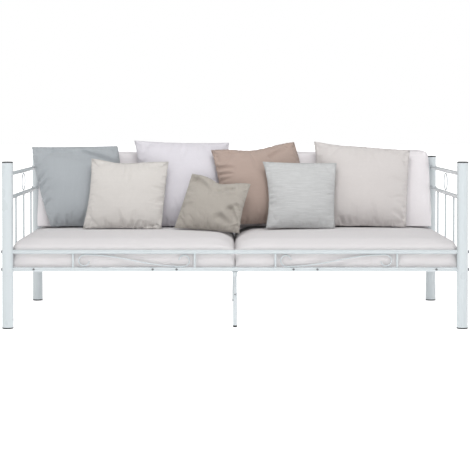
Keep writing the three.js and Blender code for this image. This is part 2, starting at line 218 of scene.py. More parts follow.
class Graph:
    """A material with its nodes, built one call at a time."""

    def __init__(self, name):
        self.material = bpy.data.materials.new(name)
        self.material.use_nodes = True
        self.tree = self.material.node_tree
        self.shader = self.tree.nodes["Principled BSDF"]

    def node(self, kind, inputs=None, **settings):
        return add_node(self.tree, kind, inputs, **settings)

    def math(self, operation, first, second=0.0, third=0.0):
        inputs = {0: first, 1: second, 2: third}
        return self.node("ShaderNodeMath", inputs, operation=operation).outputs[0]

    def place(self):
        return self.node("ShaderNodeTexCoord").outputs["Object"]

    def noise(self, vector, scale, detail=2.0, roughness=0.5):
        inputs = {"Vector": vector, "Scale": scale, "Detail": detail, "Roughness": roughness}
        return self.node("ShaderNodeTexNoise", inputs).outputs["Fac"]

    def stretched(self, vector, factors):
        return self.node("ShaderNodeVectorMath", {0: vector, 1: factors}, operation="MULTIPLY").outputs[0]

    def wave(self, vector, direction, pitch, distortion):
        inputs = {
            "Vector": vector,
            "Scale": 2 * math.pi / (20 * pitch),
            "Distortion": distortion,
            "Detail": 1.0,
            "Detail Scale": 0.35,
        }
        made = self.node("ShaderNodeTexWave", inputs, bands_direction=direction)
        return made.outputs["Fac"]

    def tint(self, factor, dark, light):
        ramp = self.node("ShaderNodeMix", {0: factor, 6: (*dark, 1), 7: (*light, 1)}, data_type="RGBA")
        return ramp.outputs[2]

    def bump(self, height, distance, strength, under=None):
        inputs = {"Height": height, "Distance": distance, "Strength": strength}
        if under is not None:
            inputs["Normal"] = under
        return self.node("ShaderNodeBump", inputs).outputs["Normal"]

    def finish(self, color=None, normal=None, roughness=None, **uniform):
        linked = {"Base Color": color, "Normal": normal, "Roughness": roughness}
        for name, socket in linked.items():
            if socket is not None:
                self.tree.links.new(socket, self.shader.inputs[name])
        for name, value in uniform.items():
            self.shader.inputs[name.replace("_", " ")].default_value = value
        return self.material


def shaded(color, factor):
    return tuple(min(1.0, channel * factor) for channel in color)


def linear(red, green, blue):
    """A colour given in display values from 0 to 255, as the shader's linear values."""

    def channel(value):
        part = value / 255
        return part / 12.92 if part <= 0.04045 else ((part + 0.055) / 1.055) ** 2.4

    return channel(red), channel(green), channel(blue)


FRAME_COLOR = linear(188, 195, 198)
SEAT_COLOR = linear(217, 214, 215)
BACK_COLOR = linear(226, 222, 224)
THREAD_PITCH = 0.0016
MOST_CROSS_STREAK = 0.04


def powder_coat():
    graph = Graph("powder_coat")
    place = graph.place()
    cloudy = graph.noise(place, 9.0, 3.0)
    peel = graph.noise(place, 900.0, 2.0)
    ripple = graph.noise(place, 160.0, 1.0)
    color = graph.tint(cloudy, shaded(FRAME_COLOR, 0.96), shaded(FRAME_COLOR, 1.03))
    normal = graph.bump(ripple, 0.0006, 0.12)
    normal = graph.bump(peel, 0.0002, 0.25, normal)
    roughness = graph.math("MULTIPLY_ADD", cloudy, 0.10, 0.24)
    return graph.finish(color, normal, roughness, Coat_Weight=0.7, Coat_Roughness=0.16)


def black_plastic():
    graph = Graph("black_plastic")
    place = graph.place()
    grain = graph.noise(place, 1400.0, 2.0)
    scuffs = graph.noise(place, 60.0, 4.0)
    color = graph.tint(scuffs, (0.016, 0.017, 0.018), (0.034, 0.036, 0.038))
    normal = graph.bump(grain, 0.0003, 0.3)
    roughness = graph.math("MULTIPLY_ADD", scuffs, 0.18, 0.42)
    return graph.finish(color, normal, roughness)


def dark_steel():
    graph = Graph("dark_steel")
    place = graph.place()
    brushed = graph.noise(graph.stretched(place, (40.0, 900.0, 900.0)), 1.0, 3.0)
    stains = graph.noise(place, 180.0, 3.0)
    color = graph.tint(stains, (0.10, 0.105, 0.11), (0.22, 0.225, 0.23))
    normal = graph.bump(brushed, 0.0001, 0.2)
    return graph.finish(color, normal, Metallic=0.9, Roughness=0.36)


def gathers(graph):
    """The height of the small puckers that run in from a seam, from the "hem" kept on the mesh."""
    hem = graph.node("ShaderNodeAttribute", attribute_name="hem").outputs["Vector"]
    puckers = graph.noise(graph.stretched(hem, (95.0, 16.0, 1.0)), 1.0, 2.0)
    inward = graph.node("ShaderNodeSeparateXYZ", {0: hem}).outputs["Y"]
    fade = graph.math("EXPONENT", graph.math("MULTIPLY", inward, -42.0))
    return graph.math("MULTIPLY", puckers, fade)


def fabric(name, color, streak, streak_shape=(9.0, 190.0, 40.0), gather=0.0):
    """Woven cloth. Its coordinates are metres along the threads, kept on the mesh as "weave"."""
    cloudy, depth = 0.025, 0.0005
    graph = Graph(name)
    place = graph.node("ShaderNodeAttribute", attribute_name="weave").outputs["Vector"]
    across = graph.wave(place, "X", THREAD_PITCH, 2.2)
    along = graph.wave(place, "Y", THREAD_PITCH * 1.07, 2.2)
    deep = graph.wave(place, "Z", THREAD_PITCH * 1.03, 2.2)
    threads = graph.math("ADD", graph.math("ADD", across, along), deep)
    slubs = graph.noise(graph.stretched(place, streak_shape), 1.0, 4.0, 0.65)
    cross_slubs = graph.noise(graph.stretched(place, (210.0, 14.0, 60.0)), 1.0, 3.0, 0.6)
    fibres = graph.noise(place, 2600.0, 2.0)
    patches = graph.noise(place, 7.0, 2.0)
    level = graph.math("MULTIPLY", graph.math("SUBTRACT", slubs, 0.5), streak * 6)
    patterns = (
        (cross_slubs, 0.5, min(streak, MOST_CROSS_STREAK) * 2),
        (patches, 0.5, cloudy * 4),
        # painted shade: the cloth's colour is darker where the thread heights dip, in step with the weave's
        # bump
        (threads, 1.5, 0.1),
    )
    for pattern, middle, weight in patterns:
        part = graph.math("MULTIPLY", graph.math("SUBTRACT", pattern, middle), weight)
        level = graph.math("ADD", level, part)
    factor = graph.math("ADD", level, 0.5)
    base = graph.tint(factor, shaded(color, 0.80), shaded(color, 1.20))
    normal = graph.bump(slubs, depth * 1.4, 0.35)
    normal = graph.bump(threads, depth, 0.55, normal)
    normal = graph.bump(fibres, depth * 0.4, 0.3, normal)
    if gather:
        normal = graph.bump(gathers(graph), gather, 1.0, normal)
    return graph.finish(base, normal, Roughness=0.88, Sheen_Weight=0.18, Sheen_Roughness=0.5)


# ---- Mesh helpers ------------------------------------------------------------------------


def new_piece(name, points, faces):
    mesh = bpy.data.meshes.new(name)
    mesh.from_pydata([tuple(point) for point in points], [], faces)
    mesh.update()
    piece = bpy.data.objects.new(name, mesh)
    bpy.context.scene.collection.objects.link(piece)
    return piece


def smooth(piece):
    piece.data.polygons.foreach_set("use_smooth", [True] * len(piece.data.polygons))


def set_points(piece, points):
    piece.data.vertices.foreach_set("co", np.asarray(points, dtype=np.float32).ravel())
    piece.data.update()


def read_vectors(items, name):
    values = np.empty(len(items) * 3, dtype=np.float32)
    items.foreach_get(name, values)
    return values.reshape(-1, 3).astype(float)


def get_points(piece):
    return read_vectors(piece.data.vertices, "co")


def keep_vectors(piece, name, vectors):
    layer = piece.data.attributes.new(name, "FLOAT_VECTOR", "POINT")
    layer.data.foreach_set("vector", np.asarray(vectors, dtype=np.float32).ravel())


def get_vectors(piece, name):
    return read_vectors(piece.data.attributes[name].data, "vector")


def noise_at(*coordinates):
    """Smooth noise at each place. Every coordinate is an array, or one number for them all."""
    places = np.stack(np.broadcast_arrays(*coordinates), axis=1).astype(float)
    return np.array([noise.noise(Vector(place)) for place in places])


def subdivide(piece):
    modifier = piece.modifiers.new("smooth", "SUBSURF")
    modifier.levels = 1
    modifier.render_levels = 1


def crease(piece, edges, value):
    """Keeps the named edges, given as pairs of vertex numbers, sharp under subdivision."""
    wanted = {tuple(sorted(pair)) for pair in edges}
    layer = piece.data.attributes.new("crease_edge", "FLOAT", "EDGE")
    values = [value if tuple(sorted(edge.vertices)) in wanted else 0.0 for edge in piece.data.edges]
    layer.data.foreach_set("value", values)


def tube(path, radius):
    """The points and faces of a thin tube round a closed path."""
    path = [Vector(point) for point in path]
    count = len(path)
    points = []
    across = None
    for i, point in enumerate(path):
        ahead = (path[(i + 1) % count] - path[i - 1]).normalized()
        if across is None:
            across = ahead.orthogonal().normalized()
        across = (across - ahead * across.dot(ahead)).normalized()
        up = ahead.cross(across)
        for k in range(TUBE_SIDES):
            angle = 2 * math.pi * k / TUBE_SIDES
            points.append(point + (across * math.cos(angle) + up * math.sin(angle)) * radius)
    return points, tube_faces(count, TUBE_SIDES, True)


def tube_faces(count, sides, is_closed):
    """The faces between rings of points. An open tube also gets its two ends."""
    faces = []
    for i in range(count if is_closed else count - 1):
        following = (i + 1) % count
        for k in range(sides):
            turn = (k + 1) % sides
            faces.append((i * sides + k, i * sides + turn, following * sides + turn, following * sides + k))
    if not is_closed:
        faces.append(tuple(range(sides - 1, -1, -1)))
        faces.append(tuple((count - 1) * sides + k for k in range(sides)))
    return faces


def merged(parts):
    """Several (points, faces) as one."""
    points, faces = [], []
    for part_points, part_faces in parts:
        start = len(points)
        points.extend(part_points)
        faces.extend(tuple(start + i for i in face) for face in part_faces)
    return points, faces


class Smoother:
    """Averages values over the neighbours in a mesh."""

    def __init__(self, piece):
        pairs = np.array([edge.vertices[:] for edge in piece.data.edges])
        self.first = np.concatenate([pairs[:, 0], pairs[:, 1]])
        self.second = np.concatenate([pairs[:, 1], pairs[:, 0]])
        self.count = np.bincount(self.first, minlength=len(piece.data.vertices)).astype(float)

    def __call__(self, values, rounds):
        for _ in range(rounds):
            total = np.zeros_like(values)
            np.add.at(total, self.first, values[self.second])
            mean = total / (self.count[:, None] if values.ndim > 1 else self.count)
            values = 0.4 * values + 0.6 * mean
        return values


# ---- Cloth -------------------------------------------------------------------------------


def add_cloth(piece, pinned, pressure, growth, gravity, bending, stiffness):
    group = piece.vertex_groups.new(name="pin")
    group.add(pinned, 1.0, "ADD")
    modifier = piece.modifiers.new("inflate", "CLOTH")
    settings = modifier.settings
    settings.quality = 5
    settings.mass = 0.2
    for kind, share in (("tension", 1), ("compression", 1), ("shear", 0.3)):
        setattr(settings, kind + "_stiffness", stiffness * share)
        setattr(settings, kind + "_damping", 8)
    settings.bending_stiffness = bending
    settings.bending_damping = 0.5
    settings.air_damping = 3
    settings.vertex_group_mass = "pin"
    settings.use_pressure = True
    settings.uniform_pressure_force = pressure
    settings.shrink_min = -growth
    settings.effector_weights.gravity = gravity
    modifier.collision_settings.use_collision = False
    modifier.point_cache.frame_start = 1
    modifier.point_cache.frame_end = SIM_FRAMES


def run_cloth(pieces):
    """Steps every cloth together and returns the points that each piece ends at."""
    scene = bpy.context.scene
    for number in range(1, SIM_FRAMES + 1):
        scene.frame_set(number)
    depsgraph = bpy.context.evaluated_depsgraph_get()
    ends = []
    for piece in pieces:
        shape = piece.evaluated_get(depsgraph).to_mesh()
        ends.append(read_vectors(shape.vertices, "co"))
    for piece in pieces:
        piece.modifiers.clear()
        piece.vertex_groups.clear()
    scene.frame_set(1)
    return ends


# ---- Throw pillows -----------------------------------------------------------------------

# Each side of a pillow bows in by a part of its half length: left, right, top, bottom. Dips in
# its top edge are (place along it from -1 to 1, width, depth), all as parts of the half length.
# Creases fade from (u, v) towards (u, v), with a width and a depth in metres. Puckers along the
# left, right, top and bottom seam are in millimetres. The seam lies "back" metres behind the middle,
# and "corners" moves a corner (across, up) in metres. "growth" is how much the cloth may stretch,
# and "streak", "shape" and "gather" are the strength and stretch of its slubs and its bump at the seam.
PILLOWS = {
    "grey_blue": {
        "bow": (-0.06, -0.12, 0.01, 0.02), "dips": [], "corners": {(1, 1): (0.004, 0.009)},
        "growth": 0.035, "fill": 0.7,
        "back": 0.024, "puckers": (2.2, 0.8, 0.5, 1.2),
        "color": (165, 170, 174), "streak": 0.035, "shape": (150.0, 11.0, 40.0), "gather": 0.003,
        "creases": [
            (-0.98, 0.16, -0.62, 0.40, 0.009, 0.005), (-0.98, -0.02, -0.66, 0.20, 0.009, 0.005),
            (-0.97, -0.20, -0.70, -0.06, 0.008, 0.004), (-0.95, -0.42, -0.74, -0.34, 0.008, 0.004),
            (-0.80, -0.95, -0.62, -0.70, 0.010, 0.004), (-0.45, -0.97, -0.40, -0.72, 0.008, 0.003),
            (-0.55, 0.93, 0.60, 0.62, 0.020, 0.005), (0.2, 0.85, 0.95, 0.50, 0.018, 0.006),
        ],
    },
    "cream": {
        "bow": (0.065, 0.01, 0.04, 0.03), "dips": [(-0.2, 0.5, 0.07)], "growth": 0.04, "fill": 0.75,
        "back": 0.008, "puckers": (1.3, 2.2, 0.6, 3.6),
        "color": (204, 200, 196), "streak": 0.03, "shape": (10.0, 170.0, 40.0), "gather": 0.007,
        "creases": [
            (0.00, -0.99, -0.04, -0.74, 0.008, 0.004), (0.20, -0.99, 0.22, -0.78, 0.009, 0.005),
            (0.36, -0.99, 0.42, -0.76, 0.008, 0.004), (0.55, -0.98, 0.50, -0.80, 0.010, 0.005),
            (0.72, -0.97, 0.62, -0.82, 0.008, 0.003), (0.98, -0.20, 0.78, -0.26, 0.008, 0.002),
        ],
    },
    "lavender": {
        "bow": (0.10, 0.02, 0.035, 0.03), "dips": [], "growth": 0.03, "fill": 0.7,
        "back": 0.024, "puckers": (0.6, 1.0, 0.5, 3.0),
        "color": (212, 209, 215), "streak": 0.015, "shape": (12.0, 160.0, 40.0), "gather": 0.003,
        "creases": [
            (0.6, 0.98, 0.52, 0.7, 0.012, 0.002),
        ],
    },
    "olive": {
        "bow": (0.01, 0.06, 0.0, 0.03), "dips": [(-0.05, 0.32, 0.14), (0.3, 0.42, 0.10)],
        "growth": 0.05, "fill": 0.6,
        "back": 0.008, "puckers": (0.8, 2.0, 1.2, 1.2),
        "color": (169, 163, 155), "streak": 0.02, "shape": (14.0, 150.0, 40.0), "gather": 0.004,
        "creases": [
            (-0.80, 0.84, -0.10, 0.50, 0.016, 0.007), (0.45, 0.66, -0.10, 0.50, 0.014, 0.006),
            (0.66, -0.10, 0.90, -0.62, 0.014, 0.007), (0.80, 0.05, 0.98, -0.30, 0.010, 0.005),
            (0.35, -0.42, 0.78, -0.70, 0.016, 0.005), (-0.95, -0.2, -0.5, -0.05, 0.014, 0.003),
        ],
    },
    "taupe": {
        "bow": (0.08, -0.11, 0.02, 0.03), "dips": [(0.0, 0.5, 0.09)], "growth": 0.04, "fill": 0.65,
        "back": 0.024, "puckers": (2.4, 1.2, 1.2, 1.4),
        "color": (171, 152, 142), "streak": 0.025, "shape": (12.0, 170.0, 40.0), "gather": 0.006,
        "creases": [
            (-0.98, 0.52, -0.58, 0.44, 0.010, 0.005), (-0.98, 0.34, -0.66, 0.30, 0.009, 0.004),
            (-0.98, 0.18, -0.70, 0.20, 0.008, 0.003), (-0.7, 0.92, -0.2, 0.74, 0.014, 0.003),
            (0.3, 0.72, 0.85, 0.90, 0.014, 0.003),
        ],
    },
    "light_grey": {
        "bow": (0.125, 0.04, 0.025, 0.015), "dips": [], "growth": 0.03, "fill": 0.75,
        "back": 0.008, "puckers": (1.6, 1.2, 0.6, 1.2),
        "color": (190, 191, 191), "streak": 0.22, "shape": (20.0, 310.0, 40.0), "gather": 0.004,
        "creases": [
            (-0.98, -0.12, -0.74, -0.10, 0.008, 0.003), (-0.98, -0.28, -0.78, -0.24, 0.008, 0.003),
            (-0.98, 0.06, -0.80, 0.06, 0.007, 0.002),
        ],
    },
    "beige": {
        "bow": (0.03, 0.02, 0.02, 0.03), "dips": [(-0.6, 0.35, 0.03)], "growth": 0.04, "fill": 0.7,
        "back": 0.024, "puckers": (0.6, 1.8, 0.8, 3.2),
        "color": (204, 199, 197), "streak": 0.02, "shape": (12.0, 160.0, 40.0), "gather": 0.004,
        "creases": [
            (-0.46, -0.98, -0.52, -0.80, 0.009, 0.005), (-0.32, -0.98, -0.38, -0.78, 0.009, 0.005),
            (-0.18, -0.98, -0.22, -0.82, 0.008, 0.004), (0.30, -0.98, 0.24, -0.84, 0.009, 0.003),
            (0.92, -0.55, 0.74, -0.38, 0.010, 0.003), (0.90, -0.80, 0.62, -0.62, 0.010, 0.004),
        ],
    },
}


class PillowPlace:
    """Where a pillow lies: its four corners, taken from its CAD solid."""

    CORNER_SIZE = 0.0115

    def __init__(self, node):
        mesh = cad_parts[node].data
        points = np.array([vertex.co[:] for vertex in mesh.vertices])
        up = np.array([0, math.sin(LEAN), math.cos(LEAN)])
        across, height = points[:, 0], points @ up
        middle = (across.mean(), height.mean())
        self.corners = {}
        for side in (-1, 1):
            for end in (-1, 1):
                reach = side * (across - middle[0]) + end * (height - middle[1])
                corner = points[np.argsort(-reach)[0]]
                close = points[np.linalg.norm(points - corner, axis=1) < self.CORNER_SIZE]
                self.corners[side, end] = close.mean(axis=0)
        low, high = self.corners[-1, -1], self.corners[1, 1]
        right = self.corners[1, -1] + self.corners[1, 1] - low - self.corners[-1, 1]
        rise = self.corners[-1, 1] + high - low - self.corners[1, -1]
        self.right = right / np.linalg.norm(right)
        front = np.cross(self.right, rise)
        self.front = front / np.linalg.norm(front)
        self.up = np.cross(self.front, self.right)
        self.middle = sum(self.corners.values()) / 4
        self.thickness = np.ptp((points - self.middle) @ self.front)

    def move_corners(self, moves):
        for corner, (across, up) in moves.items():
            self.corners[corner] = self.corners[corner] + np.array([across, 0, up])

    def point(self, u, v):
        a, b = (1 + u) / 2, (1 + v) / 2
        low = (1 - a) * self.corners[-1, -1] + a * self.corners[1, -1]
        high = (1 - a) * self.corners[-1, 1] + a * self.corners[1, 1]
        return (1 - b) * low + b * high


def cushion_grid(cells):
    """Two layers that share their border: each vertex's (u, v, side), the faces and the border."""
    numbers, spots, faces = {}, [], []

    def number(i, j, side):
        is_edge = i in (0, cells) or j in (0, cells)
        key = (i, j, 0 if is_edge else side)
        if key not in numbers:
            numbers[key] = len(spots)
            spots.append((2 * i / cells - 1, 2 * j / cells - 1, key[2]))
        return numbers[key]

    for j in range(cells):
        for i in range(cells):
            ring = [(i, j), (i + 1, j), (i + 1, j + 1), (i, j + 1)]
            faces.append([number(a, b, 1) for a, b in ring])
            faces.append([number(a, b, -1) for a, b in reversed(ring)])
    walk = [(i, 0) for i in range(cells)] + [(cells, j) for j in range(cells)]
    walk += [(i, cells) for i in range(cells, 0, -1)] + [(0, j) for j in range(cells, 0, -1)]
    return np.array(spots, dtype=float), faces, [numbers[i, j, 0] for i, j in walk]


def border_pairs(border):
    return [(border[i - 1], border[i]) for i in range(len(border))]


def bowed(u, v, look):
    """Where a spot of the square lies once the sides bow in and the top edge dips."""
    left, right, top, bottom = look["bow"]
    shifted_u = u + (1 - v * v) * (left * (1 - u) / 2 - right * (1 + u) / 2)
    shifted_v = v + (1 - u * u) * (bottom * (1 - v) / 2 - top * (1 + v) / 2)
    for place, width, depth in look["dips"]:
        shifted_v -= depth * math.exp(-(((u - place) / width) ** 2)) * ((1 + v) / 2) ** 2 * (1 - u**4)
    return shifted_u, shifted_v


def fullness(u, v):
    """How thick a pillow is at a spot, as a part of its thickness in the middle."""
    power = np.where(v < 0, BOTTOM_POWER, TOP_POWER)
    return ((1 - np.abs(u) ** SIDE_POWER) * (1 - np.abs(v) ** power)) ** FULLNESS_POWER


class Pillow:
    """One throw pillow: a sewn pair of panels, blown up as cloth between its seams."""

    def __init__(self, name, look, seed):
        self.name = name
        self.look = look
        self.seed = seed
        self.place = PillowPlace("pillow_" + name)
        self.place.move_corners(look.get("corners", {}))
        self.spots, faces, self.border = cushion_grid(PILLOW_CELLS)
        self.side = self.spots[:, 2]
        self.flat = np.array([self.place.point(*bowed(u, v, look)) for u, v, _ in self.spots])
        self.flat += np.array([0, look["back"], 0])
        self.room = self.find_room()
        start = self.flat + (self.side * self.room * START_SWELL)[:, None] * self.place.front
        self.piece = new_piece("throw_" + name, start + self.ruffle(), faces)
        offset = self.flat - self.place.middle
        weave = np.stack([offset @ self.place.right, offset @ self.place.up, self.side * 0.01], axis=1)
        keep_vectors(self.piece, "weave", weave)
        keep_vectors(self.piece, "hem", self.hem())
        keep_vectors(self.piece, "spot", self.spots)

    def find_room(self):
        """How far each spot may stand off the plane of the seam, inside the CAD solid."""
        half = self.place.thickness / 2
        room = EDGE_ROOM + (half - ROOM_MARGIN) * fullness(self.spots[:, 0], self.spots[:, 1])
        return room * (1 + self.side * self.look["back"] * math.cos(LEAN) / half)

    def half_sizes(self):
        corners = self.place.corners
        width = np.linalg.norm(corners[1, -1] + corners[1, 1] - corners[-1, -1] - corners[-1, 1]) / 4
        height = np.linalg.norm(corners[-1, 1] + corners[1, 1] - corners[-1, -1] - corners[1, -1]) / 4
        return width, height

    def is_beside(self):
        """Whether each spot is nearer to the left or right seam than to the top or bottom one."""
        width, height = self.half_sizes()
        u, v = self.spots[:, 0], self.spots[:, 1]
        return (1 - np.abs(u)) * width < (1 - np.abs(v)) * height

    def hem(self):
        """For each spot: how far along the nearest side it is, and how far in from it."""
        width, height = self.half_sizes()
        u, v = self.spots[:, 0], self.spots[:, 1]
        from_side = (1 - np.abs(u)) * width
        from_end = (1 - np.abs(v)) * height
        run = np.where(self.is_beside(), v * height + 2.0 * np.sign(u), u * width + 5.0 * np.sign(v))
        return np.stack([run, np.minimum(from_side, from_end), self.side * 3.0], axis=1)

    def creases(self):
        """How far the drawn-in folds of the front panel move each spot."""
        width, height = self.half_sizes()
        spots = self.spots[:, :2] * (width, height)
        total = np.zeros(len(spots))
        for u0, v0, u1, v1, broad, deep in self.look["creases"]:
            start, end = np.array([u0 * width, v0 * height]), np.array([u1 * width, v1 * height])
            length = np.linalg.norm(end - start)
            ahead = (end - start) / length
            offset = spots - start
            run = np.clip(offset @ ahead / length, -0.1, 1.1)
            across = offset[:, 0] * -ahead[1] + offset[:, 1] * ahead[0]
            beyond = np.maximum(np.abs(offset @ ahead / length - 0.5) - 0.5, 0) * length / broad
            fade = (1 - np.clip(run, 0, 1)) ** 0.6 * np.exp(-(beyond**2))
            shape = across / broad
            ridge = 0.8 * shape * np.exp(0.5 - shape**2 / 2)
            total += CREASE_DEPTH * deep * fade * (ridge - np.exp(-(shape**2)))
        return total * np.clip(self.side, 0, 1)

    def seam_weights(self):
        """How strongly each spot puckers, by the side that it is nearest to, in metres."""
        left, right, top, bottom = (0.001 * amount for amount in self.look["puckers"])
        u, v = self.spots[:, 0], self.spots[:, 1]
        return np.where(self.is_beside(), np.where(u < 0, left, right), np.where(v < 0, bottom, top))

    def puckers(self):
        """Small folds that run in from the seams, where the cloth is gathered by the stitching."""
        run, inward, side = self.hem().T
        rough = noise_at(run * PUCKER_RATE, inward * 10, side + self.seed * 3)
        middle, spread = PUCKER_REACH
        reach = middle + spread * noise_at(run * 14, self.seed, 5.0)
        fade = np.exp(-((inward / np.maximum(reach, LEAST_PUCKER_REACH)) ** 1.3))
        return rough * fade * self.seam_weights() * PUCKER_DEPTH

    def scallop(self):
        """Moves the seam in and out a little in the plane of the pillow."""
        run, inward = self.hem().T[:2]
        u, v = self.spots[:, 0], self.spots[:, 1]
        rough = noise_at(run * SCALLOP_RATE, self.seed * 2.3, 1.5)
        corner = np.clip((1 - np.minimum(np.abs(u), np.abs(v))) / 0.12, 0, 1)
        size = rough * self.seam_weights() * SCALLOP_DEPTH * np.exp(-inward / SCALLOP_REACH) * corner
        is_beside = self.is_beside()
        sideways = np.where(is_beside, np.sign(u) * size, 0)
        upward = np.where(is_beside, 0, np.sign(v) * size)
        return sideways[:, None] * self.place.right + upward[:, None] * self.place.up

    def ruffle(self):
        """Small unevenness off the seam, so that the cloth starts to fold."""
        u, v, side = self.spots.T
        rough = noise_at(u * 4 + self.seed * 7, v * 4, side * 9)
        edge = 1 - np.abs(self.side)
        return (rough * 0.004 * (1 - edge))[:, None] * self.place.front

    def add_cloth(self):
        add_cloth(self.piece, self.border, pressure=14.0, growth=self.look["growth"],
                  gravity=SOFT_GRAVITY, bending=0.08, stiffness=22.0)

    def settle(self, ends):
        """Keeps the folds of the cloth, but holds its bulk inside the room that the CAD gives."""
        smoother = Smoother(self.piece)
        moved = ends - self.flat
        height = moved @ self.place.front * self.side
        bulk = smoother(height, 12)
        detail = (height - bulk) * np.minimum(1.0, self.room / FULL_FOLD_ROOM)
        swell = np.tanh(np.maximum(bulk, 0.0) / self.room * 1.1)
        held = self.room * (RESTING_SWELL + (1 - RESTING_SWELL) * swell) * MOST_SWELL
        along = moved - (moved @ self.place.front)[:, None] * self.place.front
        along = np.clip(along, -MOST_SLIDE, MOST_SLIDE)
        out = np.maximum(held + detail, LEAST_SWELL * np.abs(self.side))
        set_points(self.piece, self.flat + along + (self.side * out)[:, None] * self.place.front)

    def refine(self):
        """Doubles the mesh, then draws the fine folds into it."""
        crease(self.piece, border_pairs(self.border), SEAM_CREASE)
        subdivide(self.piece)
        depsgraph = bpy.context.evaluated_depsgraph_get()
        finer = bpy.data.meshes.new_from_object(
            self.piece.evaluated_get(depsgraph), preserve_all_data_layers=True, depsgraph=depsgraph)
        self.piece.modifiers.clear()
        self.piece.data = finer
        self.spots = get_vectors(self.piece, "spot")
        self.side = self.spots[:, 2]
        inward = self.hem()[:, 1]
        lift = self.creases() * np.minimum(1, inward / 0.010)
        lift += self.puckers() * np.minimum(1, inward / 0.005)
        folds = (np.sign(self.side) * lift)[:, None] * self.place.front
        set_points(self.piece, get_points(self.piece) + folds + self.scallop())

    def rim(self):
        """The points of the seam in order, round from the bottom left corner."""
        u, v, side = self.spots.T
        end = 1 - 1e-4
        place = np.where(v < -end, u + 1, np.where(u > end, v + 3, np.where(v > end, 5 - u, 7 - v)))
        numbers = np.flatnonzero(np.abs(side) < 1e-4)
        return get_points(self.piece)[numbers[np.argsort(place[numbers])]]

    def sew(self):
        seam = new_piece("seam_" + self.name, *tube(self.rim(), SEAM_RADIUS))
        smooth(seam)
        return seam


# ---- Seat and back cushions --------------------------------------------------------------


def axis_places(half, low, high, cell):
    """Places along one axis, closer together where the edges round."""
    middle = max(2, round((2 * half - low - high) / cell))
    start = [-half + low * i / 4 for i in range(4)]
    body = [-half + low + (2 * half - low - high) * i / middle for i in range(middle)]
    end = [half - high + high * i / 4 for i in range(5)]
    return start + body + end


def box_grid(axes):
    """The surface of a box as a closed grid over the given places along its three axes."""
    last = [len(places) - 1 for places in axes]
    numbers, points, faces = {}, [], []

    def number(spot):
        if spot not in numbers:
            numbers[spot] = len(points)
            points.append([axes[k][spot[k]] for k in range(3)])
        return numbers[spot]

    for fixed in range(3):
        first, second = (fixed + 1) % 3, (fixed + 2) % 3
        for level in (0, last[fixed]):
            for i in range(last[first]):
                for j in range(last[second]):
                    ring = [(i, j), (i + 1, j), (i + 1, j + 1), (i, j + 1)]
                    if level == 0:
                        ring.reverse()
                    corners = []
                    for a, b in ring:
                        spot = [0, 0, 0]
                        spot[fixed], spot[first], spot[second] = level, a, b
                        corners.append(number(tuple(spot)))
                    faces.append(corners)
    return np.array(points), faces


def rounded(points, halves, low, high):
    """Rounds a box's edges, by one radius at its bottom and another at its top."""
    hx, hy, hz = halves
    rise = np.clip((points[:, 2] + hz - low) / (2 * hz - low - high), 0, 1)
    radius = low + (high - low) * rise
    core = np.stack([
        np.clip(points[:, 0], -hx + radius, hx - radius),
        np.clip(points[:, 1], -hy + radius, hy - radius),
        np.clip(points[:, 2], -hz + low, hz - high),
    ], axis=1)
    offset = points - core
    length = np.maximum(np.linalg.norm(offset, axis=1), 1e-9)
    return core + offset / length[:, None] * radius[:, None]


class Slab:
    """A foam cushion in a sewn cover. Its shape is made level, blown up as cloth, then placed."""

    def __init__(self, name, node, halves, radii, cell, bend, seed):
        self.name = name
        self.node = node
        self.halves = halves
        self.low, self.high = radii
        hx, hy, hz = halves
        side = max(self.low, self.high)
        axes = [axis_places(hx, side, side, cell), axis_places(hy, side, side, cell),
                axis_places(hz, self.low, self.high, cell)]
        level, faces = box_grid(axes)
        self.level = rounded(level, halves, self.low, self.high)
        rough = noise_at(*(self.level * 9 + np.array([seed, 0, 0])).T)
        away = self.level / np.linalg.norm(self.level, axis=1)[:, None]
        self.bend = bend
        self.piece = new_piece(name, self.level + away * rough[:, None] * 0.0015, faces)
        keep_vectors(self.piece, "weave", self.level)

    def seams(self):
        """The two loops where the boxing strip is sewn to the panels."""
        loops = []
        for sign, radius in ((-1, self.low), (1, self.high)):
            inset = radius * (1 - math.cos(math.radians(45)))
            loops.append((sign * (self.halves[2] - inset), inset))
        return loops

    def seam_band(self):
        """Vertices close to a seam, which stay put while the panels swell."""
        near = np.zeros(len(self.level), dtype=bool)
        for height, inset in self.seams():
            beyond = np.abs(self.level[:, :2]) - np.array(self.halves[:2])
            edge = beyond.max(axis=1)
            near |= (np.abs(self.level[:, 2] - height) < 0.006) & (np.abs(edge + inset) < 0.012)
        return near

    def add_cloth(self):
        pinned = [int(i) for i in np.flatnonzero(self.seam_band())]
        add_cloth(self.piece, pinned, pressure=4.0, growth=0.006, gravity=0.0, bending=0.6, stiffness=25.0)

    def settle(self, ends):
        smoother = Smoother(self.piece)
        moved = ends - self.level
        bulk = smoother(moved, 25)
        detail = moved - bulk
        size = np.maximum(np.linalg.norm(bulk, axis=1), 1e-9)
        held = bulk / size[:, None] * (SLAB_SWELL * np.tanh(size / SLAB_SWELL))[:, None]
        calm = np.clip((self.level[:, 2] + self.halves[2]) / CALM_HEIGHT, 0, 1)[:, None]
        self.level = self.level + (held + np.clip(detail, -SLAB_SWELL, SLAB_SWELL)) * calm

    def place(self):
        set_points(self.piece, self.bend(self.level))


def fall_towards_middle(distance, depth):
    """How far the top drops close to the gap between the two halves of the bed."""
    return np.clip(1 - distance / GAP_REACH, 0, None) ** 2 * depth


